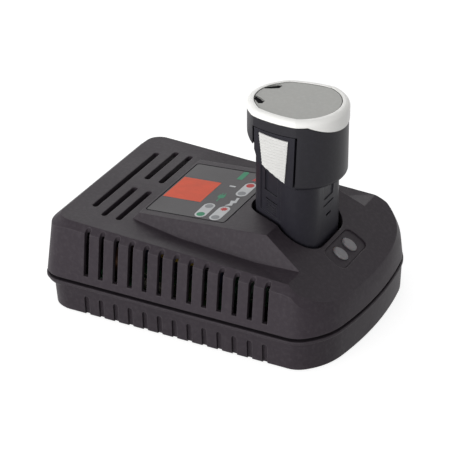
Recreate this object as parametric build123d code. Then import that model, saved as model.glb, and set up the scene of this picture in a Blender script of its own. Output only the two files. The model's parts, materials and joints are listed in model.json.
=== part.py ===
# Charger for a stem-type tool battery, with its battery standing in the pocket.
# Millimetres, +Z up, +X the front with the lamps, Y = 0 the plane of symmetry. Everything is
# drawn with X = 0 on the middle louvre and moved to the middle of the base when written.
from build123d import *
import os
from math import atan, cos, degrees, radians, sin

os.makedirs("parts", exist_ok=True)

# Charger housing, outer sizes
pitch = 8.0              # spacing of the louvres and of the rib grooves below them
louvre_count = 13
louvre_width = 2.7
half_width = 55.3        # at the seam
rear_x = -74.6
front_x = 81.0
rear_r = 11.8
corner_r, corner_turn = 13.0, 42       # front corner: a tight arc, then a slacker one,
shoulder_r, shoulder_turn = 32.0, 38   # then the bowed front edge makes up the quarter turn
seam_z = 17.8
seam_gap = 1.7
wall = 2.5
wall_draft = 6.84        # degrees
skin_z = 0.2             # underside of the lower shell, above the surface

# Deck: a plane that falls towards the front, with a bevel all round
deck_z, deck_fall = 44.6, 0.042
deck_half, deck_rear, deck_rear_r = 48.9, -67.7, 7.9
bevel_spread = 1.097     # bevel: outwards per millimetre down
deck_turn_x, deck_reach, deck_nose_x, deck_nose_y = 55.4, 8.8, 65.6, 42.0
reach_spread, nose_y_spread = 0.765, 0.484

# Front slope, which cuts deck and console alike
slope_x, slope_z, slope_fall = 63.3, 38.4, 0.6
shoulder_half, shoulder_nose = 53.1, 78.7   # bevel between the slope and the walls
shoulder_x, shoulder_y, shoulder_depth = (46.0, 70.8), 41.2, 6.0

# Console: the wedge that carries the legend plate and the pocket
console_z, console_rise = 51.5, 0.072
console_half, console_lean = 31.1, 0.38
console_rear, console_rear_lean = -31.5, 0.94
valley_drop, valley_x = 2.0, (-34.0, -8.0, 33.0, 57.0)

# Louvres in the sides and slots across the deck
louvre_foot_z = 21.7
deck_slot_width = 2.9
long_slot_x, long_slot_half = -56.1, 31.85
short_slot_x, short_slot_y = (-47.8, -39.8), (4.87, 37.35)

# Battery pocket and stem: three 18650 cells in a triangle
cell_places = ((27.5, 0.0), (43.6, -9.3), (43.6, 9.3))
cell_r, cell_length, cell_z = 9.15, 65.0, 34.0
pocket_r = 12.6          # corner radii about the cell centres
stem_r, stem_bore_r = 10.55, 9.35
pocket_floor_z, pocket_floor = 20.0, 2.0
stem_foot_z, stem_top_z = 22.0, 99.6
pocket_x = 38.0

# Head of the battery: an egg-shaped plan made of two circles, slimmed by a wide arc each side
head_rear_x, head_rear_r = 34.7, 18.0
head_front_x, head_front_r = 38.0, 20.4
head_side_x, head_side_r, head_half = 42.0, 50.0, 18.9
collar_grow, cap_grow = 3.2, 3.6
collar_foot_z = 75.0
cap_z, plate_z, cap_foot_z = 111.0, 110.7, 108.0
cap_front_foot_z, cap_knee_x, cap_front_x = 102.3, 52.0, 62.0

# Latches on both sides of the head: the lever lies between two offsets of the head's plan
lever_foot_z, lever_top_z, lever_gap = 76.7, 102.4, 0.3
lever_rear, lever_front = 24.4, (45.8, 46.7)     # front edge at the foot and at the top
lever_cut = ((24.4, 91.0), (27.0, 85.0), (42.3, 77.0))
lever_back, floor_in, core_foot_z = 1.6, 0.45, 84.5
slot_width = 1.1
pad_corners = ((29.6, 84.9), (41.8, 78.6), (43.4, 100.3), (27.6, 101.0))
pad_thick, pad_rib = 0.4, 0.2
pin_y, pin_z, pin_r, pin_play = 18.3, 101.6, 0.7, 0.05
pin_x, knuckle_x, knuckle_r = (30.6, 49.4), (32.9, 45.4), 1.35
spring_x, spring_z, spring_seat_y = (29.4, 32.6), (85.6, 95.6), 15.3
spring_crest_y, spring_thick = 19.2, 0.35

# Recesses in the stem's flat sides and front, where a tool's catches enter
flat_recess, flat_recess_z, recess_depth = (-8.3, 8.8), (55.0, 84.0), 0.5
catch_half, catch_z, catch_depth = 5.4, (66.3, 84.0), 1.3
catch_slot_z, rib_slots_z = (61.8, 62.6), (56.9, 58.1, 59.3, 60.5)

# Lamps on the front slope
lamp_x, lamp_y = 63.5, 4.9
lamp_long, lamp_wide, lamp_deep, lamp_proud = 8.4, 6.2, 3.2, 0.4
bezel_r, bezel_half, bezel_round = 14.5, 6.5, 3.5
bezel_thick, bezel_sink = 0.7, 1.4
lamp_board_deep, lamp_stud_at = 4.2, (9.0, 9.5)

# Lower shell
rear_step = 3.4
lower_rear_r = 12.0
lower_draft = 0.8        # the lower shell's sides come in by this much at the foot
foot_edge = 0.6
lip_out, lip_height = 0.45, 1.5
band_foot_z = 12.0
groove_top_z, groove_depth = 10.6, 1.6
floor_thick = 2.6
screw_places = ((-61.5, 38.0), (-61.5, -38.0), (62.0, 27.0), (62.0, -27.0))
foot_places = ((-56.0, 24.0), (-56.0, -24.0), (60.0, 12.0), (60.0, -12.0))
screw_r, screw_head_r, lamp_screw_r = 1.5, 3.0, 0.8

# Main board
board_z, board_thick = 8.0, 1.6
board_places = ((-50.0, 42.0), (-50.0, -42.0), (8.0, 42.0), (8.0, -42.0))
bush_y, bush_z, bush_seat_x = 22.0, 9.0, -70.4
bush_bore_r, bush_neck_r, bush_flange_r = 3.4, 5.5, 6.8

to_base = Pos(-(front_x + rear_x) / 2, 0, 0)
top = board_z + board_thick


def write(name, *solids):
    # One file for each node; several solids stay separate.
    shapes = [to_base * piece for solid in solids for piece in solid.solids()]
    export_step(shapes[0] if len(shapes) == 1 else Compound(shapes), f"parts/{name}.step")


def both_sides(shape):
    return [shape, mirror(shape, about=Plane.XZ)]


def side_prism(points, near, far):
    # Prism of an outline in X and Z, from Y = near to Y = far.
    outline = Plane.XZ * Polygon(*points, align=None)
    return Pos(0, far, 0) * extrude(outline, amount=far - near, dir=(0, -1, 0))


def block(x, y, z):
    # Box between pairs of limits.
    size = (x[1] - x[0], y[1] - y[0], z[1] - z[0])
    return Pos((x[0] + x[1]) / 2, (y[0] + y[1]) / 2, (z[0] + z[1]) / 2) * Box(*size)


def post(x, y, z, r):
    # Upright cylinder between two heights.
    return Pos(x, y, (z[0] + z[1]) / 2) * Cylinder(r, z[1] - z[0])


def along_x(x, y, z, r):
    # Cylinder lying along X between two limits.
    return Pos((x[0] + x[1]) / 2, y, z) * Rot(0, 90, 0) * Cylinder(r, x[1] - x[0])


# Charger housing

def plan(half, rear, rear_radius, front, ease, z):
    # Closed plan of the housing at height z. ease is taken off the front corner radii.
    first, second = radians(corner_turn), radians(corner_turn + shoulder_turn)
    tight, slack = corner_r - ease, shoulder_r - ease
    bow = (half - tight * (1 - cos(first)) - slack * (cos(first) - cos(second))) / cos(second)
    side_end = front - tight * sin(first) - slack * (sin(second) - sin(first))
    side_end -= bow * (1 - sin(second))
    with BuildSketch(Plane.XY.offset(z)) as sketch:
        with BuildLine():
            back = Line((rear, 0), (rear, rear_radius - half))
            turn = JernArc(back @ 1, (0, -1), rear_radius, 90)
            side = Line(turn @ 1, (side_end, -half))
            corner = JernArc(side @ 1, (1, 0), tight, corner_turn)
            shoulder = JernArc(corner @ 1, corner % 1, slack, shoulder_turn)
            JernArc(shoulder @ 1, shoulder % 1, bow, 90 - corner_turn - shoulder_turn)
            mirror(about=Plane.XZ)
        make_face()
    return sketch.sketch


def seam_plan(inset, z):
    return plan(half_width - inset, rear_x + inset, rear_r - inset, front_x - inset, inset, z)


def deck_section(depth):
    # Plan of the bevel, depth below the deck and parallel to it.
    out = depth * bevel_spread
    half, rear, radius = deck_half + out, deck_rear - out, deck_rear_r + out
    reach = deck_turn_x + deck_reach + depth * reach_spread
    nose, nose_y = deck_nose_x + out, deck_nose_y + depth * nose_y_spread
    with BuildSketch() as sketch:
        with BuildLine():
            back = Line((rear, 0), (rear, radius - half))
            turn = JernArc(back @ 1, (0, -1), radius, 90)
            Line(turn @ 1, (deck_turn_x, -half))
            Bezier((deck_turn_x, -half), (reach, -half), (nose, -nose_y), (nose, 0))
            mirror(about=Plane.XZ)
        make_face()
    plane = Plane((0, 0, deck_z - depth), (1, 0, -deck_fall), (deck_fall, 0, 1))
    return plane * sketch.sketch


def deck_height(x):
    return deck_z - deck_fall * x


def slope_height(x):
    return slope_z - slope_fall * (x - slope_x)


def below_slope():
    ends = [(x, slope_height(x)) for x in (-100, 120)]
    return side_prism(ends + [(120, -80), (-100, -80)], -80, 80)


def console_section(depth):
    out = depth * console_lean
    rear = console_rear - depth * console_rear_lean
    plane = Plane((0, 0, console_z - depth), (1, 0, console_rise), (-console_rise, 0, 1))
    half = console_half + out
    return plane * Polygon((rear, -half), (100, -half), (100, half), (rear, half), align=None)


def console_block():
    wedge = loft([console_section(22), console_section(0)], ruled=True)
    return wedge & block((-60, 90), (-45, 45), (36, 70))


def valley(side_x):
    # Shallow trough between the deck's edge and the foot of the console, on the +Y side.
    start, deep, shallow, end = side_x
    length = side_prism([(start, deck_height(start)), (deep, deck_height(deep) - valley_drop),
                         (shallow, deck_height(shallow) - valley_drop),
                         (end, deck_height(end)), (end, 60), (start, 60)], 25, deck_half)
    across = Plane((start, 0, deck_height(start)), (0, 1, 0), (1, 0, -deck_fall))
    run = deck_half - console_half
    wedge = Polygon((deck_half, 0), (deck_half, 15), (deck_half - run, 15),
                    (deck_half - run, -valley_drop * run / 13), align=None)
    return length & extrude(across * wedge, amount=end - start)


def slope_section(depth):
    # Outline of the front slope, depth below it and parallel to it.
    stretch = (1 + slope_fall ** 2) ** 0.5
    half, nose = shoulder_half + depth, shoulder_nose + depth
    turn, reach = shoulder_x
    ends = [(x - slope_x) * stretch for x in (-20, turn, reach + 0.6 * depth, nose)]
    with BuildSketch() as sketch:
        with BuildLine():
            Polyline((ends[0], 0), (ends[0], -half), (ends[1], -half))
            Bezier((ends[1], -half), (ends[2], -half), (ends[3], -shoulder_y - depth / 2), (ends[3], 0))
            mirror(about=Plane.XZ)
        make_face()
    return on_slope(slope_x - lamp_x, depth) * sketch.sketch


def shoulder_cut():
    # What the bevel between the slope and the walls takes off.
    x0, x1 = 45, 120
    slab = side_prism([(x0, slope_height(x0) + 0.5), (x0, slope_height(x0) - shoulder_depth),
                       (x1, slope_height(x1) - shoulder_depth), (x1, slope_height(x1) + 0.5)], -80, 80)
    return slab - loft([slope_section(shoulder_depth), slope_section(-1)], ruled=True)


def housing_form(skin):
    # The upper shell's outer form (skin = 0), or the same form inside a wall of that thickness.
    down = Pos(0, 0, -1.1 * skin)
    walls = extrude(seam_plan(skin, seam_z), amount=34, taper=wall_draft)
    form = walls & down * loft([deck_section(31), deck_section(0)], ruled=True)
    for trough in both_sides(valley(valley_x)):
        form -= down * trough
    console = Pos(skin, 0, -skin) * console_block()
    if skin:
        console &= block((-60, 90), (skin - console_half - 3, console_half + 3 - skin), (20, 70))
    form = (form + console) & down * below_slope()
    return form if skin else form - shoulder_cut()


def side_louvre():
    # Square at the foot; the round end lies just short of the deck's edge.
    start = deck_half + 0.6 + louvre_width / 2
    profile = Pos(0, start + 8) * Rectangle(louvre_width, 16) + Pos(0, start) * Circle(louvre_width / 2)
    return Pos(0, 0, louvre_foot_z) * extrude(profile, amount=30)


def deck_slot(x, y_from, y_to):
    length = y_to - y_from
    shape = extrude(SlotOverall(length, deck_slot_width, rotation=90), amount=14)
    return Pos(x, (y_from + y_to) / 2, deck_height(x) - 8) * shape


def on_slope(along, depth):
    # Frame on the front slope at the lamps: X down the slope, Z out of it.
    unit = Plane((lamp_x + along, 0, slope_height(lamp_x + along)),
                 (1, 0, -slope_fall), (slope_fall, 0, 1))
    return unit.offset(-depth)


def stem_plan(r, z):
    # Rounded triangle about the three cells.
    with BuildSketch(Plane.XY.offset(z)) as sketch:
        Polygon(*cell_places, align=None)
        offset(amount=r)
    return sketch.sketch


def make_upper_shell():
    inner = housing_form(wall)
    shell = housing_form(0) - inner
    for number in range(louvre_count):
        x = (number - louvre_count // 2) * pitch
        for cut in both_sides(Pos(x, 0, 0) * side_louvre()):
            shell -= cut
    shell -= deck_slot(long_slot_x, -long_slot_half, long_slot_half)
    for x in short_slot_x:
        for cut in both_sides(deck_slot(x, *short_slot_y)):
            shell -= cut
    shell -= extrude(stem_plan(pocket_r, 30), amount=40)
    shell -= on_slope(0, bezel_sink) * extrude(bezel_plan(0), amount=6)
    for y in (lamp_y, -lamp_y):
        shell -= on_slope(0, 5) * Pos(0, y, 0) * extrude(lamp_plan(0.1), amount=8)
    for x, y in screw_places:
        boss = post(x, y, (seam_z - seam_gap, 45), 3.6) & inner_room(inner)
        shell += boss - post(x, y, (seam_z - seam_gap - 1, 30), screw_r)
    for place in lamp_stud_places(lamp_board_deep):
        shell += place * post(0, 0, (0, lamp_board_deep - wall + 0.4), 2.2)
        shell -= place * post(0, 0, (-1, lamp_board_deep - 1.2), lamp_screw_r)
    return shell - legend_recess()


def bezel_plan(grow):
    # Round plate cut straight across at the pocket and at the front, its corners rounded.
    plate = Circle(bezel_r + grow) & Rectangle(2 * (bezel_half + grow), 4 * bezel_r)
    return fillet(plate.vertices(), bezel_round)


def lamp_plan(grow):
    return Ellipse(lamp_long / 2 + grow, lamp_wide / 2 + grow)


def lamp_stud_places(depth):
    along, y = lamp_stud_at
    return [on_slope(0, depth) * Pos(along, side, 0) for side in (y, -y)]


def inner_room(inner):
    return inner + extrude(seam_plan(wall + 1.5, seam_z - seam_gap), amount=2)


def legend_plan(grow):
    shape = RectangleRounded(43 + 2 * grow, 53.6 + 2 * grow, 1.6 + grow)
    plane = Plane((0, 0, console_z), (1, 0, console_rise), (-console_rise, 0, 1))
    return plane * Pos(-9, 0, 0) * shape


def legend_recess():
    return Pos(0, 0, -0.3) * extrude(legend_plan(0.1), amount=3)


def make_legend_plate():
    return Pos(0, 0, -0.3) * extrude(legend_plan(0), amount=0.35)


def make_battery_well():
    # Liner that hangs from the shell round the pocket; ribs guide the stem, pads carry it.
    tube = extrude(stem_plan(pocket_r + 1.6, pocket_floor_z - pocket_floor), amount=40)
    tube -= extrude(stem_plan(pocket_r, pocket_floor_z), amount=45)
    well = tube & housing_form(wall)
    for x, y in cell_places:
        for turn in (-50, 0, 50):
            away = degrees_from(pocket_x, x, y) + turn
            rib = Pos(x, y, 0) * Rot(0, 0, away) * block((stem_r + 0.25, pocket_r + 0.4),
                                                        (-0.9, 0.9), (pocket_floor_z, 38))
            well += rib
    for x, y in cell_places:
        well += post(x, y, (pocket_floor_z, stem_foot_z), 2.5)
    window = block((30, 46.5), (-5.2, 5.2), (10, 30))
    return well - window


def degrees_from(x0, x, y):
    return 180 if x < x0 else (60 if y > 0 else -60)


def lower_plan(inset, z):
    # Recessed body of the lower shell, drawn in at the rear.
    high, low = seam_z - seam_gap, skin_z
    share = (high - z) / (high - low)
    half = half_width - 0.1 - lower_draft * share
    rear = rear_x + rear_step + 0.9 * share
    front = front_x - 0.05 - 0.5 * share
    return plan(half - inset, rear + inset, lower_rear_r - inset, front - inset,
                inset + lower_draft * share, z)


def full_plan(z):
    # The same sides and front with the rear at its full length, for the rim band.
    share = (seam_z - seam_gap - z) / (seam_z - seam_gap - skin_z)
    return plan(half_width - 0.1 - lower_draft * share, rear_x + 0.05 + 0.9 * share,
                rear_r - 0.05 - 0.9 * share, front_x - 0.05 - 0.5 * share, lower_draft * share, z)


def make_lower_body():
    high = seam_z - seam_gap
    body = loft([lower_plan(foot_edge, skin_z), lower_plan(0, skin_z + foot_edge), lower_plan(0, high)],
                ruled=True)
    band = loft([full_plan(band_foot_z), full_plan(high)], ruled=True)
    band = fillet(band.faces().sort_by(Axis.Z)[0].edges(), 2.8)
    body += band & block((-90, -45), (-70, 70), (5, 30))
    levels = ((0.1, high - lip_height), (lip_out, high - lip_height + 0.35), (lip_out, high - 0.35), (0.1, high))
    return body + loft([seam_plan(-out, z) for out, z in levels], ruled=True)


def rib_groove():
    # Groove up the drafted side, round at the top.
    height = seam_z - seam_gap - skin_z
    lean = degrees(atan(lower_draft / height))
    profile = Pos(0, -7) * Rectangle(louvre_width, 14) + Circle(louvre_width / 2)
    cut = extrude(Plane.XZ * profile, amount=groove_depth + 3)
    face_y = half_width - 0.1 - lower_draft * (seam_z - seam_gap - groove_top_z) / height
    place = Pos(0, face_y, groove_top_z - louvre_width / 2) * Rot(-lean, 0, 0)
    return place * Pos(0, 3, 0) * cut


def make_lower_shell():
    high = seam_z - seam_gap
    shell = make_lower_body()
    shell -= loft([lower_plan(wall + 0.5, skin_z + floor_thick), lower_plan(wall + 0.5, high)],
                  ruled=True)
    tongue = extrude(seam_plan(wall + 0.1, high - 3), amount=6.2, taper=wall_draft)
    tongue -= extrude(seam_plan(wall + 1.3, high - 3), amount=6.6, taper=wall_draft)
    shell += tongue
    for number in range(louvre_count):
        x = (number - louvre_count // 2) * pitch
        for cut in both_sides(Pos(x, 0, 0) * rib_groove()):
            shell -= cut
    for x, y in screw_places:
        shell += post(x, y, (skin_z + 1, high), 4.2)
        shell -= post(x, y, (0, high + 1), screw_r + 0.2)
        shell -= post(x, y, (0, 7), screw_head_r + 0.3)
    for x, y in board_places:
        shell += post(x, y, (skin_z + 1, board_z), 3.2) - post(x, y, (skin_z + 2.6, 20), 1.1)
    for x, y in foot_places:
        shell -= post(x, y, (0, skin_z + 1.2), 6.1)
    shell -= along_x((rear_x - 5, rear_x + 12), bush_y, bush_z, bush_neck_r)
    return shell - along_x((rear_x - 5, bush_seat_x), bush_y, bush_z, bush_flange_r + 0.3)


def make_feet():
    foot = extrude(Circle(6), amount=skin_z + 1.2)
    foot = chamfer(foot.edges().sort_by(Axis.Z)[:1], 0.4)
    return [Pos(x, y, 0) * foot for x, y in foot_places]


def screw(length, r, head_r, head):
    # Pan-head screw pointing up, its head's top face down at Z = 0.
    body = chamfer(Cylinder(head_r, head, align=(Align.CENTER, Align.CENTER, Align.MIN)).edges()
                   .sort_by(Axis.Z)[:1], head * 0.3)
    shank = Pos(0, 0, head) * Cylinder(r, length, align=(Align.CENTER, Align.CENTER, Align.MIN))
    slot = block((-head_r * 0.6, head_r * 0.6), (-0.4, 0.4), (-1, head * 0.4))
    return body + shank - slot - Rot(0, 0, 90) * slot


def make_cord_bush():
    # Rubber bush in the rear wall: flanges outside and inside, bore along X.
    inside = wall + 0.8
    outline = Polygon((-2.2, bush_bore_r), (-2.2, bush_flange_r - 0.7), (-1.5, bush_flange_r),
                      (0, bush_flange_r), (0, bush_neck_r), (inside, bush_neck_r),
                      (inside, 5.9), (inside + 1.8, 5.6), (inside + 1.8, bush_bore_r), align=None)
    return Pos(bush_seat_x, bush_y, bush_z) * revolve(outline, axis=Axis.X)


# Electronics

def make_main_board():
    board = extrude(Pos(-19, 0, board_z) * RectangleRounded(73, 94, 3), amount=board_thick)
    board += extrude(Pos(34, 0, board_z) * Rectangle(34, 40), amount=board_thick)
    for x, y in board_places:
        board -= post(x, y, (0, 20), 1.6)
    return board


def make_contact_block():
    block_body = block((30.6, 45.9), (-4.8, 4.8), (top, pocket_floor_z - 0.2))
    block_body += block((28, 48.5), (-7.5, 7.5), (top, pocket_floor_z - pocket_floor - 1))
    for x, y in blade_places():
        block_body -= block((x - 1.6, x + 1.6), (y - 0.4, y + 0.4), (0, 30))
    return block_body


def blade_places():
    return [(33.2 + 5 * number, 0.0) for number in range(3)]


def make_blades():
    blades = []
    for x, y in blade_places():
        blade = block((x - 1.6, x + 1.6), (y - 0.4, y + 0.4), (top, 30))
        blades.append(chamfer(blade.edges().filter_by(Axis.X).sort_by(Axis.Z)[-2:], 0.3))
    return blades


def make_transformer():
    # Ferrite core of two E halves round a taped coil.
    core = block((-36, -2), (-8.0, 4.0), (top + 2, top + 28))
    for x in ((-31.5, -24.5), (-13.5, -6.5)):
        core -= block(x, (-20, 20), (top + 6.5, top + 23.5))
    coil = extrude(RectangleRounded(24.4, 25, 6), amount=16.4)
    coil -= block((-5.6, 5.6), (-6.1, 6.1), (-1, 20))
    flange = extrude(RectangleRounded(24.6, 25.4, 4) - Rectangle(11.2, 12.2), amount=0.3)
    winding = Pos(-19, -2, top + 6.8) * (coil + flange)
    bobbin = block((-33, -5), (-15, 11), (top, top + 2))
    return core, winding, bobbin


def make_capacitors():
    cans = []
    for x, y, r, tall in ((-44, 14, 8, 27), (-44, -8, 6.5, 24), (-2, 22, 4, 13), (3, -16, 4, 13)):
        can = post(x, y, (top, top + tall), r)
        can = chamfer(can.edges().sort_by(Axis.Z)[-1:], 0.7)
        groove = post(x, y, (top + 2, top + 3), r + 1) - post(x, y, (top + 2, top + 3), r - 0.5)
        cans.append(can - groove)
    return cans


def make_heat_sink():
    sink = block((-40, 0), (26.5, 28.5), (top, top + 26))
    for number in range(8):
        x = -39 + 5.3 * number
        sink += block((x, x + 1.4), (28.4, 35), (top + 2, top + 26))
    return sink


def make_transistors():
    return [block((x - 5, x + 5), (22, 26.5), (top, top + 18)) for x in (-30, -12)]


def make_choke():
    ring = chamfer((Cylinder(9, 5.2) - Cylinder(3.8, 6)).edges().filter_by(GeomType.CIRCLE), 1.2)
    return Pos(-42, -28, top + 9) * Rot(0, 90, 0) * ring + block((-45, -39), (-34, -22), (top, top + 1.5))


def make_fuse():
    tube = Pos(-20, -36, top + 4) * Rot(0, 90, 0) * Cylinder(2.6, 14)
    caps = [Pos(-20 + x, -36, top + 4) * Rot(0, 90, 0) * Cylinder(3, 4) for x in (-8, 8)]
    legs = [block((-20.5 + x, -19.5 + x), (-36.6, -35.4), (top, top + 3)) for x in (-8, 8)]
    return tube + caps + legs


def make_terminal():
    body = block((-54.5, -45), (24.5, 35), (top, top + 10))
    for y in (27.3, 32.2):
        body -= along_x((-60, -48), y, top + 4, 1.5)
        body -= post(-50, y, (top + 7, top + 12), 1.6)
    return body


def make_lamps():
    lens = extrude(lamp_plan(0), amount=lamp_deep + lamp_proud)
    lens = chamfer(lens.edges().group_by(Axis.Z)[-1], 0.6)
    return [on_slope(0, lamp_deep) * Pos(0, y, 0) * lens for y in (lamp_y, -lamp_y)]


def make_bezel():
    plate = on_slope(0, bezel_sink) * extrude(bezel_plan(-0.1), amount=bezel_thick)
    for y in (lamp_y, -lamp_y):
        hole = extrude(lamp_plan(0.05), amount=4)
        plate -= on_slope(0, bezel_sink + 1) * Pos(0, y, 0) * hole
    return plate


def make_lamp_board():
    outline = Pos(4.4, 0) * RectangleRounded(15.2, 24, 1.5)
    board = on_slope(0, lamp_board_deep + 1.2) * extrude(outline, amount=1.2)
    for place in lamp_stud_places(lamp_board_deep):
        board -= place * post(0, 0, (-2, 1), lamp_screw_r + 0.1)
    return board


def make_leds():
    return [on_slope(0, lamp_board_deep) * Pos(0, y, 0) * block((-1.75, 1.75), (-1.4, 1.4), (0, 0.8))
            for y in (lamp_y, -lamp_y)]


# Battery

def bore_plan(z):
    # Room for the three cells; a web stays behind the middle of each flat side.
    with BuildSketch(Plane.XY.offset(z)) as sketch:
        Polygon(*cell_places, align=None)
        with Locations(*cell_places):
            Circle(stem_bore_r)
    return sketch.sketch


def make_stem():
    stem = extrude(stem_plan(stem_r, stem_foot_z), amount=stem_top_z - stem_foot_z)
    stem = chamfer(stem.faces().sort_by(Axis.Z)[0].edges(), 1.0)
    stem -= extrude(stem_plan(stem_bore_r, stem_foot_z + 2), amount=cell_z - stem_foot_z - 2)
    stem -= extrude(bore_plan(cell_z - 1), amount=cell_length + 1)
    stem -= extrude(stem_plan(stem_bore_r, cell_z + cell_length - 0.1), amount=10)
    for x, y in blade_places():
        stem -= block((x - 2.1, x + 2.1), (y - 1, y + 1), (20, 25))
    for sign in (1, -1):
        stem -= latch_window(sign) & block((0, 80), (-40, 40), (collar_foot_z + 1, 120))
    for recess in both_sides(flat_side() * side_recess()):
        stem -= recess
    return stem - Pos(cell_places[1][0] + stem_r, 0, 0) * front_recess()


def flat_side():
    # Frame on the near flat side of the stem: X forwards along it, Y into it, Z up.
    (x0, y0), (x1, y1) = cell_places[:2]
    along = Vector(x1 - x0, y1 - y0, 0).normalized()
    middle = Vector((x0 + x1) / 2, (y0 + y1) / 2, 0) + Vector(along.Y, -along.X, 0) * stem_r
    return Plane(middle, along, (0, 0, 1))


def side_recess():
    # Shallow panel with a catch pocket above, a slot below it and a row of rib slots.
    along, low = flat_recess, flat_recess_z
    cuts = block(along, (-1, recess_depth), low)
    cuts += block((-catch_half, catch_half), (-1, catch_depth), catch_z)
    cuts += block((-catch_half + 0.9, catch_half), (-1, catch_depth), catch_slot_z)
    for z in rib_slots_z:
        cuts += block((-3.8, 4.8), (-1, recess_depth + 0.4), (z, z + 0.5))
    return cuts


def front_recess():
    # Shallow panel, a groove across it and a short slot in the stem's front face.
    panel = Plane.YZ * Polygon((-4.6, 64), (4.6, 64), (7.0, 76), (-7.0, 76), align=None)
    cuts = extrude(panel, amount=1, dir=(1, 0, 0)) + extrude(panel, amount=recess_depth, dir=(-1, 0, 0))
    cuts += block((-0.7, 1), (-5.3, 5.3), (60.5, 61.3))
    return cuts + block((-1.2, 1), (-2.6, 2.6), (54.4, 55.6))


def sorted_pair(a, b):
    return (min(a, b), max(a, b))


def head_plan(grow, z):
    rear = Pos(head_rear_x, 0) * Circle(head_rear_r + grow)
    front = Pos(head_front_x, 0) * Circle(head_front_r + grow)
    egg = make_hull(rear.edges() + front.edges())
    for away in (1, -1):
        egg &= Pos(head_side_x, away * (head_side_r - head_half)) * Circle(head_side_r + grow)
    return Pos(0, 0, z) * egg


def head_ring(inner, outer, z):
    # Wall between two offsets of the head's plan.
    low, high = z
    return extrude(head_plan(outer, low), amount=high - low) - extrude(head_plan(inner, low - 1),
                                                                    amount=high - low + 2)


def below_cap(gap):
    # Everything under the cap's lower edge, which dips towards the front.
    knee = cap_foot_z - gap
    fall = (cap_foot_z - cap_front_foot_z) / (cap_front_x - cap_knee_x)
    return side_prism([(0, 60), (0, knee), (cap_knee_x, knee), (80, knee - fall * (80 - cap_knee_x)),
                       (80, 60)], -40, 40)


def pin(sign, r, x=pin_x):
    return along_x(x, sign * pin_y, pin_z, r)


def latch_window(sign):
    # Room of one lever: a slot at its front and rear edges and space behind it.
    foot, head = lever_front
    rear, high = lever_rear - slot_width, lever_top_z + lever_gap
    outline = [(rear, 60), (foot + slot_width, 60), (foot + slot_width, lever_foot_z),
               (head + slot_width, high), (rear, high)]
    near, far = sorted_pair(sign * 10, sign * 30)
    return side_prism(outline, near, far) - extrude(head_plan(floor_in, 50), amount=60)


def make_collar():
    collar = extrude(head_plan(collar_grow, collar_foot_z), amount=40) & below_cap(0.35)
    collar = fillet(collar.faces().sort_by(Axis.Z)[0].edges(), 2.4)
    collar -= rear_undercut()
    collar -= extrude(stem_plan(stem_r + 0.03, 60), amount=stem_top_z - 60 + 0.01)
    room = extrude(head_plan(1.2, stem_top_z), amount=20)
    collar -= room & block((0, 80), (-16.0, 16.0), (90, 120))
    collar -= extrude(head_plan(1.2, 104.4), amount=20)
    rear, front = lever_rear - slot_width, lever_front[0] + slot_width
    lug_x = (knuckle_x[0] - 2.1, knuckle_x[0] - 0.3)
    for sign in (1, -1):
        collar -= latch_window(sign)
        collar -= block((rear, front), sorted_pair(sign, sign * 30), (60, core_foot_z))
        collar -= block((knuckle_x[0] - 0.3, knuckle_x[1] + 0.3), sorted_pair(sign * 16.6, sign * 20.1),
                        (pin_z - 1.7, pin_z + 1.8))
        collar += block(lug_x, sorted_pair(sign * 17, sign * 19.8), (pin_z - 2, pin_z + 1.8))
        collar -= block((spring_x[0] - 0.3, spring_x[1] + 0.3), sorted_pair(sign * spring_seat_y, sign * 30),
                        (spring_z[0] - 0.3, spring_z[1] + 0.3))
        collar -= pin(sign, pin_r)
    return collar


def rear_undercut():
    # The nose overhangs the stem at the rear and curves in to meet it.
    with BuildSketch(Plane.XZ) as sketch:
        with BuildLine():
            Polyline((5, 60), (5, 98), (14, 98))
            ThreePointArc((14, 98), (17.5, 95), (26.7, 93.5))
            Polyline((26.7, 93.5), (26.7, 60), (5, 60))
        make_face()
    return Pos(0, 40, 0) * extrude(sketch.sketch, amount=80, dir=(0, -1, 0))


def make_cap():
    cap = extrude(head_plan(cap_grow, 95), amount=cap_z - 95)
    cap = fillet(cap.faces().sort_by(Axis.Z)[-1].edges(), 2.6)
    cap -= below_cap(0)
    cap -= extrude(head_plan(0.05, plate_z - 0.5), amount=5)
    cap -= extrude(head_plan(1.4, 90), amount=plate_z - 0.5 - 1.7 - 90)
    cap += head_ring(0.1, 1.1, (105, 110))
    for notch in both_sides(plate_notch()):
        cap -= notch
    return cap


def plate_notch():
    # Opening at the narrow end of the top, through plate and cap to the dark inside.
    shape = Polygon((18.0, -6.7), (18.2, -4.8), (20.8, -5.9), (23.9, -7.9), (24.0, -10.3),
                    (22.6, -10.9), align=None)
    return extrude(Pos(0, 0, plate_z - 3) * shape, amount=6, dir=(0, 0, 1))


def make_plate():
    plate = extrude(head_plan(-0.05, plate_z - 0.5), amount=0.5)
    for notch in both_sides(plate_notch()):
        plate -= notch
    return plate


def make_cells():
    cells = []
    for x, y in cell_places:
        can = post(x, y, (cell_z, cell_z + cell_length - 0.6), cell_r)
        can = chamfer(can.edges().group_by(Axis.Z)[-1], 0.5)
        cells.append(can + post(x, y, (cell_z + 30, cell_z + cell_length), 2.9))
    return cells


def make_straps():
    height = cell_z + cell_length
    (x0, y0), (x1, y1), (x2, y2) = cell_places
    across = block((x1 - 3, x1 + 3), (y1 - 3, y2 + 3), (height, height + 0.2))
    single = block((x0 - 3, x0 + 3), (y0 - 4, y0 + 4), (height, height + 0.2))
    riser = block((x0 - 3, x0 + 3), (-4, -3.8), (height, stem_top_z))
    return [across + block((x1 - 3, x1 + 3), (-0.1, 0.1), (height, stem_top_z)), single + riser]


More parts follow.
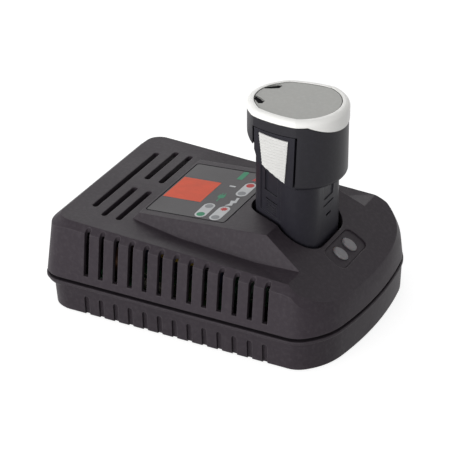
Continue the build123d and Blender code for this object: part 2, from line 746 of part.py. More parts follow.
def make_carrier():
    carrier = extrude(stem_plan(stem_bore_r - 0.1, cell_z - 3), amount=3)
    carrier += block((29.5, 47), (-5.5, 5.5), (stem_foot_z + 2, cell_z - 3))
    for x, y in blade_places():
        carrier -= block((x - 2.1, x + 2.1), (y - 2.2, y + 2.2), (20, cell_z - 2))
    return carrier


def make_terminals():
    clips = []
    for x, y in blade_places():
        jaws = [block((x - 1.9, x + 1.9), sorted_pair(s * 0.5, s * 0.9), (25, cell_z - 2)) for s in (1, -1)]
        bridge = block((x - 1.9, x + 1.9), (-2.2, 2.2), (cell_z - 2.5, cell_z - 2))
        clips.append(jaws[0] + jaws[1] + bridge)
    return clips


def make_battery_board():
    board = extrude(stem_plan(10.2, stem_top_z), amount=1.2)
    return board & block((0, 80), (-15.8, 15.8), (90, 110))


def make_lever(sign):
    # Curved plate flush with the collar, hung by its knuckle on the pin.
    foot, head = lever_front
    outline = [*lever_cut, (foot, lever_foot_z), (head, lever_top_z), (lever_rear, lever_top_z)]
    near, far = sorted_pair(sign * 10, sign * 30)
    lever = side_prism(outline, near, far) & head_ring(lever_back, collar_grow, (60, 110))
    lug_x = (knuckle_x[0] - 2.4, knuckle_x[0])
    lever -= block(lug_x, sorted_pair(sign * 10, sign * 20.0), (pin_z - 2.4, 120))
    lever -= block((spring_x[0] - 0.2, spring_x[1] + 0.2), sorted_pair(sign * 10, sign * spring_crest_y),
                   (86, 95))
    web = block(knuckle_x, sorted_pair(sign * pin_y, sign * 20.8), (pin_z - 1, lever_top_z))
    return lever + pin(sign, knuckle_r, knuckle_x) + web - pin(sign, pin_r + pin_play)


def make_pad(sign):
    # Thin soft pad laid on the lever, with fine ribs across it.
    near, far = sorted_pair(sign * 10, sign * 30)
    room = side_prism(pad_corners, near, far)
    pad = room & head_ring(collar_grow, collar_grow + pad_thick, (60, 110))
    crests = room & head_ring(collar_grow, collar_grow + pad_thick + pad_rib, (60, 110))
    for number in range(15):
        low = 79.2 + 1.5 * number
        pad += crests & block((20, 50), (-40, 40), (low, low + 0.6))
    return pad


def make_spring(sign):
    # Bow of flat spring steel between the collar's pocket and the lever.
    (low, high), thick = spring_z, spring_thick
    foot, crest, middle = spring_seat_y, spring_crest_y - 0.02, (low + high) / 2
    bow = [(foot, low), (foot + thick, low), (crest, middle - 1), (crest, middle + 1),
           (foot + thick, high), (foot, high), (crest - thick, middle + 0.9), (crest - thick, middle - 0.9)]
    outline = Plane.YZ * Polygon(*[(sign * y, z) for y, z in bow], align=None)
    x0, x1 = spring_x
    return Pos(x0, 0, 0) * extrude(outline, amount=x1 - x0, dir=(1, 0, 0))


core, winding, bobbin = make_transformer()
housing_screw = screw(21, screw_r, screw_head_r, 2)
board_screw = Rot(180, 0, 0) * screw(5, 1.1, 2.4, 1.4)
lamp_screw = screw(4.0, lamp_screw_r, 1.7, 1.0)

write("upper_shell", make_upper_shell())
write("lower_shell", make_lower_shell())
write("battery_well", make_battery_well())
write("legend_plate", make_legend_plate())
write("contact_block", make_contact_block())
write("contact_blades", *make_blades())
write("lamp_bezel", make_bezel())
write("lamp_lenses", *make_lamps())
write("lamp_board", make_lamp_board())
write("lamp_leds", *make_leds())
write("main_board", make_main_board())
write("transformer_core", core)
write("transformer_winding", winding)
write("transformer_base", bobbin)
write("capacitors", *make_capacitors())
write("heat_sink", make_heat_sink())
write("transistors", *make_transistors())
write("choke", make_choke())
write("fuse", make_fuse())
write("mains_terminal", make_terminal())
write("cord_bush", make_cord_bush())
write("rubber_feet", *make_feet())
write("housing_screws", *[Pos(x, y, 5) * housing_screw for x, y in screw_places])
write("board_screws", *[Pos(x, y, top + 1.4) * board_screw for x, y in board_places])
write("lamp_screws", *[place * Pos(0, 0, -2.2) * lamp_screw
                       for place in lamp_stud_places(lamp_board_deep)])
write("battery_stem", make_stem())
write("battery_collar", make_collar())
write("battery_cap", make_cap())
write("battery_plate", make_plate())
write("battery_cells", *make_cells())
write("cell_straps", *make_straps())
write("cell_carrier", make_carrier())
write("battery_terminals", *make_terminals())
write("battery_board", make_battery_board())
write("latch_pins", pin(1, pin_r), pin(-1, pin_r))
for side, sign in (("near", -1), ("far", 1)):
    write(f"latch_lever_{side}", make_lever(sign))
    write(f"latch_pad_{side}", make_pad(sign))
    write(f"latch_spring_{side}", make_spring(sign))
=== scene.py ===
# Bench charger for a stem battery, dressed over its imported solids
import json
from math import radians, cos, sin

import bmesh
import bpy
from mathutils import Matrix, Vector


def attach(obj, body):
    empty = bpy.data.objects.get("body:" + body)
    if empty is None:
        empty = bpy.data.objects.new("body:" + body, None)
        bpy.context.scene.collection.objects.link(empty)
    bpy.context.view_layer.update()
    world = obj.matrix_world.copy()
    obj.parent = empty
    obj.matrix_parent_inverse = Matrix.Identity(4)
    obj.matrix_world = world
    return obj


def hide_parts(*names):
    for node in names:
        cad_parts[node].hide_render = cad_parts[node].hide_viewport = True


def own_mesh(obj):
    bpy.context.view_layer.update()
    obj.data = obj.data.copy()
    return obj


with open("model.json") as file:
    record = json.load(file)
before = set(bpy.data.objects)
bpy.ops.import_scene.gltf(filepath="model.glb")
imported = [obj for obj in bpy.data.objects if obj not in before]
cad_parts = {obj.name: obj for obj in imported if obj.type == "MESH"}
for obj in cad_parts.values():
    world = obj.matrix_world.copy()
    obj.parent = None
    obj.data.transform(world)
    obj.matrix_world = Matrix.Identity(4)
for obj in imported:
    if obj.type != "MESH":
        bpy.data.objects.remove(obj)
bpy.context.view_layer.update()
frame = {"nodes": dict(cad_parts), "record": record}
nodes = frame["nodes"]
bodyOf = {node: body for body, names in frame["record"]["behaviour"]["bodies"].items() for node in names}
slotOf = {part["node"]: part["material_slot"] for part in frame["record"]["subparts"]}
mm = 0.001


class Field:
    # One shader value; arithmetic on fields adds Math nodes to their tree
    def __init__(self, tree, socket=None):
        self.tree = tree
        self.socket = socket

    def node(self, kind, settings, sockets, output=0):
        # Any node: its settings go in first, then the values or links of its sockets
        made = self.tree.nodes.new(kind)
        for name, value in settings.items():
            setattr(made, name, value)
        for name, value in sockets.items():
            if isinstance(value, Field):
                self.tree.links.new(value.socket, made.inputs[name])
            else:
                made.inputs[name].default_value = value
        return Field(self.tree, made.outputs[output])

    def maths(self, operation, first, second):
        return self.node("ShaderNodeMath", {"operation": operation}, {0: first, 1: second})

    def __add__(self, other):
        return self.maths("ADD", self, other)

    def __radd__(self, other):
        return self.maths("ADD", other, self)

    def __sub__(self, other):
        return self.maths("SUBTRACT", self, other)

    def __rsub__(self, other):
        return self.maths("SUBTRACT", other, self)

    def __mul__(self, other):
        return self.maths("MULTIPLY", self, other)

    def __rmul__(self, other):
        return self.maths("MULTIPLY", other, self)

    def __gt__(self, other):
        return self.maths("GREATER_THAN", self, other)

    def __lt__(self, other):
        return self.maths("LESS_THAN", self, other)

    def ramp(self, low, high, fromValue=0.0, toValue=1.0):
        # Straight ramp between two values of this field, held at its ends
        return self.node("ShaderNodeMapRange", {}, {"Value": self, "From Min": low, "From Max": high,
                                                    "To Min": fromValue, "To Max": toValue})

    def blend(self, first, second):
        # Colour mix with this field as the factor; inputs 6 and 7 and output 2 are the node's colours
        return self.node("ShaderNodeMix", {"data_type": "RGBA"}, {"Factor": self, 6: first, 7: second}, 2)

    def noise(self, scale, detail=2.0, rough=0.5):
        return self.node("ShaderNodeTexNoise", {}, {"Vector": self, "Scale": scale, "Detail": detail,
                                                    "Roughness": rough})

    def cells(self, scale):
        return self.node("ShaderNodeTexVoronoi", {}, {"Vector": self, "Scale": scale})

    def stretched(self, scale):
        return self.node("ShaderNodeMapping", {}, {"Vector": self, "Scale": scale})

    def bump(self, strength, depth, under=None):
        sockets = {"Height": self, "Strength": strength, "Distance": depth}
        if under:
            sockets["Normal"] = under
        return self.node("ShaderNodeBump", {}, sockets)


class Finish:
    # A material with one Principled shader; fixed numbers sit on the shader's own sockets
    def __init__(self, name, **fixed):
        self.material = bpy.data.materials.new(name)
        self.material.use_nodes = True
        self.tree = self.material.node_tree
        self.shader = self.tree.nodes["Principled BSDF"]
        for socket, value in fixed.items():
            self.shader.inputs[socket.replace("_", " ")].default_value = value
        self.start = Field(self.tree)
        self.place = self.start.node("ShaderNodeTexCoord", {}, {}, "Object")

    def feed(self, **fields):
        for socket, field in fields.items():
            self.tree.links.new(field.socket, self.shader.inputs[socket.replace("_", " ")])
        return self.material

    def rounded(self, radius):
        # Normal with every sharp edge softened to this radius
        return self.start.node("ShaderNodeBevel", {"samples": 6}, {"Radius": radius})


def tone(red, green, blue, share=1.0):
    # A colour for a socket, darkened to a share of itself
    return (red * share, green * share, blue * share, 1.0)


noiseEnds = (0.3, 0.7)  # a noise seldom goes past these two values

# Painted shade in the gap between the two shells: heights where it starts and where it ends
seamShade = {"foot": (16.0 * mm, 16.3 * mm), "head": (18.0 * mm, 17.75 * mm), "strength": 0.7,
             "colour": tone(0.004, 0.003, 0.005)}


def mouldedPlastic(name, look, seam=None):
    # Spark-eroded moulding: cloudy tone, fine grain, edges painted a little lighter as rubbed wear and as a
    # painted highlight; a seam adds a painted shade in the shells' gap
    finish = Finish(name, Specular_IOR_Level=look["shine"])
    place = finish.place
    cloud = place.noise(look["cloudScale"], 4.0, 0.6)
    fine = place.noise(look["grainScale"], 3.0, 0.65)
    pits = place.cells(look["grainScale"] * look["pitShare"])
    speck = place.noise(look["grainScale"] * look["speckShare"])
    base = cloud.ramp(*noiseEnds).blend(look["dark"], look["light"])
    base = (speck.ramp(*look["speckEnds"]) * look["speck"]).blend(base, look["worn"])
    # An edge shows where the softened normal leaves the face's own; there the colour goes lighter, partly
    # rubbed wear and partly a painted highlight along the rounded edge
    softened = finish.rounded(look["edge"])
    facing = finish.start.node("ShaderNodeNewGeometry", {}, {}, "Normal")
    agree = finish.start.node("ShaderNodeVectorMath", {"operation": "DOT_PRODUCT"},
                              {0: softened, 1: facing}, "Value")
    edge = (1 - agree).ramp(0.0, look["edgeTurn"]) * look["edgeWearAndHighlight"]
    base = edge.blend(base, look["worn"])
    # Painted shade: a dark band of heights laid over the gap between the shells
    if seam:
        height = place.node("ShaderNodeSeparateXYZ", {}, {"Vector": place}, "Z")
        gap = height.ramp(*seam["foot"]) * height.ramp(*seam["head"])
        base = (gap * seam["strength"]).blend(base, seam["colour"])
    smoother, rougher = [look["rough"] + step for step in look["roughSteps"]]
    rough = cloud.ramp(*noiseEnds, smoother, rougher) + (fine - 0.5) * look["roughGrain"]
    grain = fine * look["fineHeight"] + pits * look["pitHeight"]
    return finish.feed(Base_Color=base, Roughness=rough,
                       Normal=grain.bump(look["grain"], look["depth"], softened))


housingLook = {
    "dark": tone(0.0250, 0.0195, 0.0247), "light": tone(0.0316, 0.0250, 0.0311),
    "worn": tone(0.060, 0.051, 0.058), "cloudScale": 22.0, "shine": 0.16,
    "rough": 0.5, "roughSteps": (-0.04, 0.05), "roughGrain": 0.1,
    "grainScale": 1500.0, "grain": 0.35, "depth": 0.12 * mm, "fineHeight": 0.6,
    "pitShare": 0.8, "pitHeight": 0.4, "speckShare": 0.35, "speckEnds": (0.45, 0.8), "speck": 0.35,
    "edge": 0.8 * mm, "edgeTurn": 0.05, "edgeWearAndHighlight": 0.5}
# The lower shell: the same charcoal painted about 15% darker, a painted shade for its walls that lean down
# away from the light
lowerShadedLook = dict(housingLook, dark=tone(0.0213, 0.0166, 0.0210), light=tone(0.0269, 0.0213, 0.0264))
stemLook = dict(housingLook, dark=tone(0.0146, 0.0138, 0.0190), light=tone(0.0184, 0.0174, 0.0236),
                worn=tone(0.034, 0.033, 0.040), rough=0.42, grain=0.18, speck=0.2, shine=0.14,
                edge=0.4 * mm, edgeWearAndHighlight=0.35)
collarLook = dict(stemLook, dark=tone(0.0122, 0.0114, 0.0148), light=tone(0.0156, 0.0146, 0.0188),
                  shine=0.22, edgeWearAndHighlight=0.2)
shadowLook = dict(stemLook, dark=tone(0.004, 0.004, 0.005), light=tone(0.006, 0.006, 0.007),
                  worn=tone(0.008, 0.008, 0.008), rough=0.8, shine=0.05)
capLook = dict(housingLook, dark=tone(0.88, 0.875, 0.85), light=tone(0.92, 0.915, 0.89),
               worn=tone(0.93, 0.92, 0.90), rough=0.38, grain=0.12, speck=0.25, shine=0.4,
               edge=0.4 * mm, edgeWearAndHighlight=0.2)
padLook = dict(capLook, dark=tone(0.62, 0.615, 0.60), light=tone(0.66, 0.655, 0.64),
               worn=tone(0.69, 0.685, 0.67), grain=0.08, speck=0.15, edge=0.1 * mm, edgeWearAndHighlight=0.1)
plateLook = dict(housingLook, dark=tone(0.36, 0.36, 0.345), light=tone(0.42, 0.42, 0.40),
                 worn=tone(0.52, 0.52, 0.50), rough=0.4, grain=0.1, speck=0.3, edge=0.2 * mm, edgeWearAndHighlight=0.1)
legendLook = dict(housingLook, dark=tone(0.050, 0.047, 0.050), light=tone(0.058, 0.0545, 0.058),
                  rough=0.44, grain=0.12, edge=0.2 * mm, edgeWearAndHighlight=0.2)
fuseLook = dict(capLook, dark=tone(0.24, 0.22, 0.18), light=tone(0.30, 0.28, 0.23),
                worn=tone(0.33, 0.31, 0.26))
ferriteLook = dict(housingLook, rough=0.7, grain=0.5)
epoxyLook = dict(stemLook, rough=0.6)

inkLook = {"shine": 0.15, "cloudScale": 160.0, "cloudEnds": (0.35, 0.65), "faded": 0.88,
           "rough": (0.57, 0.65), "dotScale": 2600.0, "dots": 0.1, "depth": 0.04 * mm}


def printedInk(name, colour):
    finish = Finish(name, Specular_IOR_Level=inkLook["shine"])
    cloud = finish.place.noise(inkLook["cloudScale"], 3.0)
    dots = finish.place.noise(inkLook["dotScale"])
    base = cloud.ramp(*inkLook["cloudEnds"]).blend(tone(*colour, share=inkLook["faded"]), tone(*colour))
    return finish.feed(Base_Color=base, Roughness=cloud.ramp(*noiseEnds, *inkLook["rough"]),
                       Normal=dots.bump(inkLook["dots"], inkLook["depth"]))


lensLook = {"dark": tone(0.135, 0.127, 0.137), "light": tone(0.17, 0.162, 0.172), "cloudScale": 300.0,
            "shine": 0.5, "glow": 0.2, "glowDepth": 2 * mm, "coatRough": 0.2, "rough": (0.34, 0.44),
            "grainScale": 1800.0, "grain": 0.08, "depth": 0.1 * mm, "edge": 0.4 * mm}


def lensPlastic(name):
    finish = Finish(name, Specular_IOR_Level=lensLook["shine"], Subsurface_Weight=lensLook["glow"],
                    Subsurface_Scale=lensLook["glowDepth"], Coat_Roughness=lensLook["coatRough"])
    cloud = finish.place.noise(lensLook["cloudScale"], 3.0)
    grain = finish.place.noise(lensLook["grainScale"])
    softened = finish.rounded(lensLook["edge"])
    return finish.feed(Base_Color=cloud.ramp(*noiseEnds).blend(lensLook["dark"], lensLook["light"]),
                       Roughness=cloud.ramp(*noiseEnds, *lensLook["rough"]),
                       Normal=grain.bump(lensLook["grain"], lensLook["depth"], softened))


metalLook = {"lineScale": 260.0, "lines": 0.12, "depth": 0.05 * mm, "roughSteps": (-0.06, 0.08),
             "tarnishScale": 90.0, "tarnishEnds": (0.35, 0.7), "tarnish": 0.72}


def metal(name, colour, rough, brushed):
    # Metal with fine lines along X and a cloudy tarnish
    finish = Finish(name, Metallic=1.0)
    lines = finish.place.stretched((1.0, brushed, brushed)).noise(metalLook["lineScale"], 3.0, 0.6)
    cloud = finish.place.noise(metalLook["tarnishScale"], 3.0)
    dull = tone(*colour, share=metalLook["tarnish"])
    base = cloud.ramp(*metalLook["tarnishEnds"]).blend(dull, tone(*colour))
    smoother, rougher = [rough + step for step in metalLook["roughSteps"]]
    return finish.feed(Base_Color=base, Roughness=lines.ramp(*noiseEnds, smoother, rougher),
                       Normal=lines.bump(metalLook["lines"], metalLook["depth"]))


boardLook = {"mask": tone(0.012, 0.075, 0.028), "track": tone(0.02, 0.12, 0.045),
             "pad": tone(0.55, 0.52, 0.42), "shine": 0.5,
             "trackStretch": (60.0, 260.0, 60.0), "trackScale": 1.6, "trackFrom": 0.52,
             "padScale": 380.0, "padSize": 0.16, "roughEnds": (0.4, 0.6), "rough": (0.3, 0.42),
             "tracks": 0.2, "depth": 0.05 * mm}


def circuitBoard(name):
    # Solder mask over tracks, with pale solder pads
    finish = Finish(name, Specular_IOR_Level=boardLook["shine"])
    copper = finish.place.stretched(boardLook["trackStretch"]).noise(boardLook["trackScale"], 1.0)
    tracks = copper > boardLook["trackFrom"]
    pads = finish.place.cells(boardLook["padScale"]) < boardLook["padSize"]
    base = pads.blend(tracks.blend(boardLook["mask"], boardLook["track"]), boardLook["pad"])
    return finish.feed(Base_Color=base, Roughness=copper.ramp(*boardLook["roughEnds"], *boardLook["rough"]),
                       Normal=tracks.bump(boardLook["tracks"], boardLook["depth"]))


wrapLook = {"shine": 0.5, "wander": 0.6, "overlap": (0.05, 0.35), "faded": 0.7, "rough": (0.45, 0.3),
            "edges": 0.2, "depth": 0.1 * mm}


def wrapped(name, colour, bands):
    # Tape or sleeve wound round the Z axis: thin bands with overlapping edges
    finish = Finish(name, Specular_IOR_Level=wrapLook["shine"])
    wave = finish.start.node("ShaderNodeTexWave", {"bands_direction": "Z"},
                             {"Vector": finish.place, "Scale": bands, "Distortion": wrapLook["wander"],
                              "Detail": 2.0}, "Fac")
    base = wave.ramp(*wrapLook["overlap"]).blend(tone(*colour, share=wrapLook["faded"]), tone(*colour))
    return finish.feed(Base_Color=base, Roughness=wave.ramp(0.0, 1.0, *wrapLook["rough"]),
                       Normal=wave.bump(wrapLook["edges"], wrapLook["depth"]))


rubberLook = {"dark": tone(0.012, 0.012, 0.012), "dusty": tone(0.035, 0.033, 0.031), "shine": 0.35,
              "dustScale": 120.0, "dustEnds": (0.4, 0.8), "rough": (0.7, 0.85),
              "grainScale": 1400.0, "grain": 0.25, "depth": 0.1 * mm}


def rubber(name):
    finish = Finish(name, Specular_IOR_Level=rubberLook["shine"])
    dust = finish.place.noise(rubberLook["dustScale"], 4.0)
    grain = finish.place.noise(rubberLook["grainScale"])
    base = dust.ramp(*rubberLook["dustEnds"]).blend(rubberLook["dark"], rubberLook["dusty"])
    return finish.feed(Base_Color=base, Roughness=dust.ramp(*noiseEnds, *rubberLook["rough"]),
                       Normal=grain.bump(rubberLook["grain"], rubberLook["depth"]))


# One finish for each slot; tapes and sleeves end with their bands, metals with roughness and brushing
finishes = {
    "housing": mouldedPlastic("housing charcoal", housingLook, seamShade),
    "battery_black": mouldedPlastic("battery black", stemLook),
    "cap_white": mouldedPlastic("cap white", capLook),
    "plate_grey": mouldedPlastic("plate grey", plateLook),
    "legend": mouldedPlastic("legend film", legendLook),
    "lens": lensPlastic("lamp lens"),
    "board": circuitBoard("circuit board"),
    "ferrite": mouldedPlastic("ferrite", ferriteLook),
    "tape": wrapped("winding tape", (0.19, 0.13, 0.022), 30.0),
    "sleeve": wrapped("capacitor sleeve", (0.02, 0.025, 0.05), 4.0),
    "aluminium": metal("extruded aluminium", (0.72, 0.73, 0.75), 0.34, 8.0),
    "part_black": mouldedPlastic("epoxy black", epoxyLook),
    "fuse_body": mouldedPlastic("fuse ceramic", fuseLook),
    "terminal": printedInk("terminal green", (0.03, 0.22, 0.07)),
    "contact": metal("plated contact", (0.80, 0.62, 0.34), 0.28, 6.0),
    "steel": metal("zinc steel", (0.62, 0.62, 0.63), 0.3, 5.0),
    "rubber": rubber("black rubber"),
    "cell": wrapped("cell wrap", (0.05, 0.20, 0.13), 1.0),
    "led": printedInk("led body", (0.82, 0.80, 0.68)),
}
# Nodes that look different from the rest of their slot
ownFinish = {
    "latch_pad_near": mouldedPlastic("thumb pad", padLook),
    "battery_collar": mouldedPlastic("battery collar", collarLook),
    "lower_shell": mouldedPlastic("lower shell charcoal painted shade", lowerShadedLook, seamShade),
    "choke": metal("enamelled wire", (0.06, 0.03, 0.018), 0.5, 6.0),
}
ownFinish["latch_pad_far"] = ownFinish["latch_pad_near"]
shadowBlack = mouldedPlastic("shadow line", shadowLook)
print("finishes made:", len(finishes) + len(ownFinish))


def finishOf(node):
    return ownFinish.get(node, finishes[slotOf[node]])


def meshFrom(name, shape):
    # Hands a bmesh over to a mesh of this name
    mesh = bpy.data.meshes.new(name)
    shape.to_mesh(mesh)
    shape.free()
    return mesh


def linked(name, shape, body, material):
    # A piece of the object, made from a bmesh and carried by one body
    piece = bpy.data.objects.new(name, meshFrom(name, shape))
    bpy.context.scene.collection.objects.link(piece)
    piece.data.materials.append(material)
    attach(piece, body)
    return piece


dressing = {"joinWithin": 0.001 * mm, "sharpFrom": radians(24)}


def merged(node):
    # A copy of a solid's loose triangles with their shared corners joined
    shape = bmesh.new()
    shape.from_mesh(nodes[node].data)
    bmesh.ops.remove_doubles(shape, verts=shape.verts, dist=dressing["joinWithin"])
    return shape


def dress(node):
    # A copy in the solid's place, smooth where the solid is round and sharp at its edges
    shape = merged(node)
    for face in shape.faces:
        face.smooth = True
    for edge in shape.edges:
        edge.smooth = len(edge.link_faces) == 2 and edge.calc_face_angle(0) < dressing["sharpFrom"]
    piece = linked(node + "_dressed", shape, bodyOf[node], finishOf(node))
    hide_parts(node)
    even = piece.modifiers.new("even normals", "WEIGHTED_NORMAL")
    even.keep_sharp = True
    return piece


dressed = ["upper_shell", "lower_shell", "battery_well", "lamp_bezel", "lamp_lenses", "legend_plate",
           "cord_bush", "rubber_feet", "battery_stem", "battery_collar", "battery_cap", "battery_plate",
           "latch_lever_near", "latch_lever_far", "latch_pad_near", "latch_pad_far",
           "transformer_winding", "transformer_core", "capacitors", "heat_sink", "housing_screws"]
for node in dressed:
    dress(node)

# Each bow spring is dressed like the other solids, on a mesh of its own
springs = {"sides": {"near": -1, "far": 1}, "seat": 15.3 * mm, "keep": 0.885}
for end, side in springs["sides"].items():
    dressed.append(f"latch_spring_{end}")
    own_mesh(dress(dressed[-1]))
for node, solid in nodes.items():
    if node not in dressed:
        solid.data.materials.clear()
        solid.data.materials.append(finishOf(node))
print("solids dressed:", len(dressed))


# Painted shadow: a dark line inside the edge of a flat cover's top, where it lies in its recess and the gap
# round it is in shade
shadowLine = {"wide": {"battery_plate": 0.3 * mm, "legend_plate": 0.5 * mm},
              "lift": 0.03 * mm, "upward": 0.99}


def edgeLine(node, wide):
    shape = merged(node)
    cover = [face for face in shape.faces if face.normal.z > shadowLine["upward"]]
    ring = bmesh.ops.inset_region(shape, faces=cover, thickness=wide, use_boundary=True,
                                  use_even_offset=True)["faces"]
    bmesh.ops.delete(shape, geom=[face for face in shape.faces if face not in ring], context="FACES")
    bmesh.ops.translate(shape, verts=shape.verts, vec=(0, 0, shadowLine["lift"]))
    linked(node + "_line", shape, bodyOf[node], shadowBlack)


for node, wide in shadowLine["wide"].items():
    edgeLine(node, wide)
print("cover lines drawn")


def slab(outline, foot, thick):
    # Flat block from an outline, with its underside at the foot; all in millimetres
    shape = bmesh.new()
    corners = [shape.verts.new((x * mm, y * mm, foot * mm)) for x, y in outline]
    raised = bmesh.ops.extrude_face_region(shape, geom=[shape.faces.new(corners)], use_keep_orig=True)
    top = [corner for corner in raised["geom"] if isinstance(corner, bmesh.types.BMVert)]
    bmesh.ops.translate(shape, verts=top, vec=(0, 0, thick * mm))
    bmesh.ops.recalc_face_normals(shape, faces=shape.faces)
    return shape


# Black hooks of the battery's top, seen in its two notches, in millimetres
# They take the near-black shadow-line finish, darker than the battery's own black: the hooks' own black
# with painted shade of the notches
hooks = {"sides": {"near": 1, "far": -1}, "foot": 108.4, "rise": 1.95,
         "outline": [(14.8, -6.7), (15.0, -4.8), (17.6, -5.9), (20.7, -7.9), (20.8, -10.3), (19.4, -10.9)]}
for end, side in hooks["sides"].items():
    outline = [(x, side * y) for x, y in hooks["outline"]]
    linked(f"notch_hook_{end}", slab(outline, hooks["foot"], hooks["rise"]), "battery",
           shadowBlack)
print("notch hooks placed")


# Legend on the console: plain colour block and lamp symbols, places in millimetres on the plate
legend = {
    "origin": (-3.2 * mm, 0.0, 51.5 * mm), "rise": 0.072, "lift": 0.05 * mm, "thick": 0.05,
    "inks": {"pill": (0.60, 0.61, 0.62), "green": (0.07, 0.27, 0.16), "red": (0.50, 0.07, 0.07),
             "grey": (0.30, 0.31, 0.32), "orange": (0.70, 0.115, 0.064)},
    "block": [(-29.3, -11.0), (-8.7, -11.0), (-8.7, 11.0), (-29.3, 11.0)],
    "pillWide": 5.9, "dotWide": 4.1, "star": (2.0, 1.25, 8), "starOn": (1, "red"),
    "pills": (((-2.5, -22.3), (-2.6, -13.4), "green", "grey"),
              ((5.7, -22.9), (5.8, -14.0), "grey", "red"),
              ((6.1, 3.9), (6.2, 12.9), "grey", "red")),
    "symbols": {
        "battery": ("green", [(-3.7, 17.3), (-0.7, 17.3), (-0.7, 25.6), (-1.5, 25.6), (-1.5, 26.2),
                              (-2.9, 26.2), (-2.9, 25.6), (-3.7, 25.6)]),
        "dash": ("pill", [(-3.4, 9.0), (-0.1, 9.0), (-0.1, 10.1), (-3.4, 10.1)]),
        "plug": ("green", [(-2.1, -7.4), (-1.5, -7.4), (-1.5, -3.9), (-0.1, -3.4), (-0.1, -0.5),
                           (-0.8, -0.5), (-0.8, 1.3), (-1.3, 1.3), (-1.3, -0.5), (-2.2, -0.5), (-2.2, 1.3),
                           (-2.7, 1.3), (-2.7, -0.5), (-3.5, -0.5), (-3.5, -3.4), (-2.1, -3.9)]),
        "bolt": ("pill", [(4.2, -10.4), (7.6, -9.2), (6.9, -6.9), (8.2, -6.0), (7.4, -0.9), (6.1, -1.1),
                          (6.6, -4.3), (4.6, -4.6), (5.5, -7.6)]),
        "tick": ("red", [(4.2, 18.2), (6.2, 18.2), (7.4, 23.0), (5.4, 23.0)])}}


def legendPlane():
    # Frame on the legend plate: X towards the front, Z out of the plate
    slope = Vector((1, 0, legend["rise"])).normalized()
    side = Vector((0, 1, 0))
    turn = Matrix((slope, side, slope.cross(side))).transposed().to_4x4()
    return Matrix.Translation(legend["origin"]) @ turn @ Matrix.Translation((0, 0, legend["lift"]))


def onLegend(name, outline, ink, level=0):
    # Thin printed shape on the plate; higher levels lie on lower ones
    shape = slab(outline, level * legend["thick"], legend["thick"])
    shape.transform(legendPlane())
    linked("legend_" + name, shape, "charger", inks[ink])


def onCircle(centre, r, turn):
    return (centre[0] + r * cos(radians(turn)), centre[1] + r * sin(radians(turn)))


def around(centre, r, start=0, stop=360, count=24):
    # Points on an arc; one that doesn't close also gets its last point
    steps = range(count + (stop - start < 360))
    return [onCircle(centre, r, start + (stop - start) * step / count) for step in steps]


def star(centre, outer, inner, rays):
    turn = 360 / rays
    return [point for ray in range(rays)
            for point in (onCircle(centre, outer, ray * turn), onCircle(centre, inner, (ray + 0.5) * turn))]


inks = {name: printedInk(name + " ink", colour) for name, colour in legend["inks"].items()}
onLegend("block", legend["block"], "orange")
for number, (low, high, lowInk, highInk) in enumerate(legend["pills"]):
    radius = legend["pillWide"] / 2
    onLegend(f"pill_{number}", around(low, radius, 180, 360, 12) + around(high, radius, 0, 180, 12), "pill")
    for centre, ink in ((low, lowInk), (high, highInk)):
        starred = (number, ink) == legend["starOn"]
        dot = star(centre, *legend["star"]) if starred else around(centre, legend["dotWide"] / 2)
        onLegend(f"dot_{number}_{ink}", dot, ink, 1)
for name, (ink, outline) in legend["symbols"].items():
    onLegend(name, outline, ink)
print("legend printed")


camera = {"azimuth": 27.762, "elevation": 28.981, "roll": -0.392, "distance": 1091.284 * mm,
          "aimRight": -1.228 * mm, "aimUp": 30.646 * mm, "shift": -3.2 * mm, "lens": 176.25, "sensor": 36.0}


def aimCamera():
    turn, tilt, roll = (radians(camera[key]) for key in ("azimuth", "elevation", "roll"))
    back = Vector((sin(turn) * cos(tilt), -cos(turn) * cos(tilt), sin(tilt)))
    right = Vector((cos(turn), sin(turn), 0))
    up = back.cross(right)
    right, up = cos(roll) * right + sin(roll) * up, cos(roll) * up - sin(roll) * right
    place = right * camera["aimRight"] + up * camera["aimUp"] + back * camera["distance"]
    lensData = bpy.data.cameras.new("studio camera")
    lensData.lens = camera["lens"]
    lensData.sensor_width = camera["sensor"]
    eye = bpy.data.objects.new("studio camera", lensData)
    bpy.context.scene.collection.objects.link(eye)
    eye.matrix_world = (Matrix.Translation(place + Vector((camera["shift"], 0, 0)))
                        @ Matrix((right, up, back)).transposed().to_4x4())
    bpy.context.scene.camera = eye


# Soft panels round the object: where they hang, what they face, their size in metres and their watts
lamps = {
    "back": {"place": (-0.75, 1.35, 0.95), "aim": (-0.02, 0, 0.04), "size": (1.2, 0.8), "power": 5.0},
    "front": {"place": (-0.1, -1.2, 0.25), "aim": (0, 0, 0.04), "size": (1.2, 0.35), "power": 11.0},
    "left": {"place": (-1.2, -0.45, 0.3), "aim": (0, 0, 0.04), "size": (0.8, 0.4), "power": 4.6},
    "top": {"place": (0, 0, 1.4), "aim": (0, 0, 0.05), "size": (1.2, 1.2), "power": 1.0}}


def softLamp(name, place, aim, size, power):
    light = bpy.data.lights.new(name, "AREA")
    light.shape = "RECTANGLE"
    light.size, light.size_y = size
    light.energy = power
    lamp = bpy.data.objects.new(name, light)
    bpy.context.scene.collection.objects.link(lamp)
    facing = (Vector(place) - Vector(aim)).to_track_quat("Z", "Y")
    lamp.matrix_world = Matrix.Translation(place) @ facing.to_matrix().to_4x4()


def emptyTree(owner):
    owner.use_nodes = True
    owner.node_tree.nodes.clear()
    return Field(owner.node_tree)


def toSurface(shader, kind):
    # The last shader of a tree goes into an output node of this kind
    out = shader.tree.nodes.new(kind)
    shader.tree.links.new(shader.socket, out.inputs["Surface"])


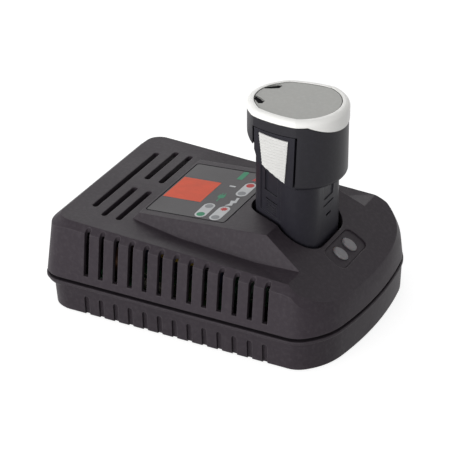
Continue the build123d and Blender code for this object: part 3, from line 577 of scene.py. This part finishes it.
def unlit(start):
    # Where the background shows white: straight to the camera, in a reflection or through the lens
    straight, mirrored, through = [start.node("ShaderNodeLightPath", {}, {}, f"Is {ray} Ray")
                                   for ray in ("Camera", "Glossy", "Transmission")]
    return start.maths("MAXIMUM", start.maths("MAXIMUM", straight, mirrored), through)


white = tone(1, 1, 1)
skyLight = {"dim": 0.48, "white": 1.0}


def buildSky():
    sky = bpy.data.worlds.new("studio")
    start = emptyTree(sky)
    dim, plain = [start.node("ShaderNodeBackground", {}, {"Color": white, "Strength": skyLight[part]})
                  for part in ("dim", "white")]
    both = start.node("ShaderNodeMixShader", {}, {0: unlit(start), 1: dim, 2: plain})
    toSurface(both, "ShaderNodeOutputWorld")
    bpy.context.scene.world = sky
    bpy.context.scene.view_settings.view_transform = "Standard"


# Pale ground that glows white to the camera apart from the object's soft shadow. The glow grows from
# its near to its far strength between two distances, so that the ground ends without a line
floorLook = {"half": 3.0, "drop": 0.05 * mm, "matt": tone(0.42, 0.42, 0.42), "from": 0.25, "to": 1.2,
             "near": 0.79, "far": 1.0}


def buildFloor():
    shape = bmesh.new()
    bmesh.ops.create_grid(shape, x_segments=1, y_segments=1, size=floorLook["half"])
    bmesh.ops.translate(shape, verts=shape.verts, vec=(0, 0, -floorLook["drop"]))
    floor = bpy.data.objects.new("floor", meshFrom("floor", shape))
    bpy.context.scene.collection.objects.link(floor)
    material = bpy.data.materials.new("pale floor")
    start = emptyTree(material)
    matt = start.node("ShaderNodeBsdfDiffuse", {}, {"Color": floorLook["matt"]})
    place = start.node("ShaderNodeTexCoord", {}, {}, "Object")
    distance = start.node("ShaderNodeVectorMath", {"operation": "LENGTH"}, {0: place}, "Value")
    spread = distance.ramp(floorLook["from"], floorLook["to"], floorLook["near"], floorLook["far"])
    dark, bright = [start.node("ShaderNodeEmission", {}, {"Color": white, "Strength": strength})
                    for strength in (0.0, 1.0)]
    glow = start.node("ShaderNodeMixShader", {}, {0: unlit(start) * spread, 1: dark, 2: bright})
    both = start.node("ShaderNodeAddShader", {}, {0: matt, 1: glow})
    toSurface(both, "ShaderNodeOutputMaterial")
    floor.data.materials.append(material)


aimCamera()
for name, lamp in lamps.items():
    softLamp(name, **lamp)
buildSky()
buildFloor()
print("studio built")
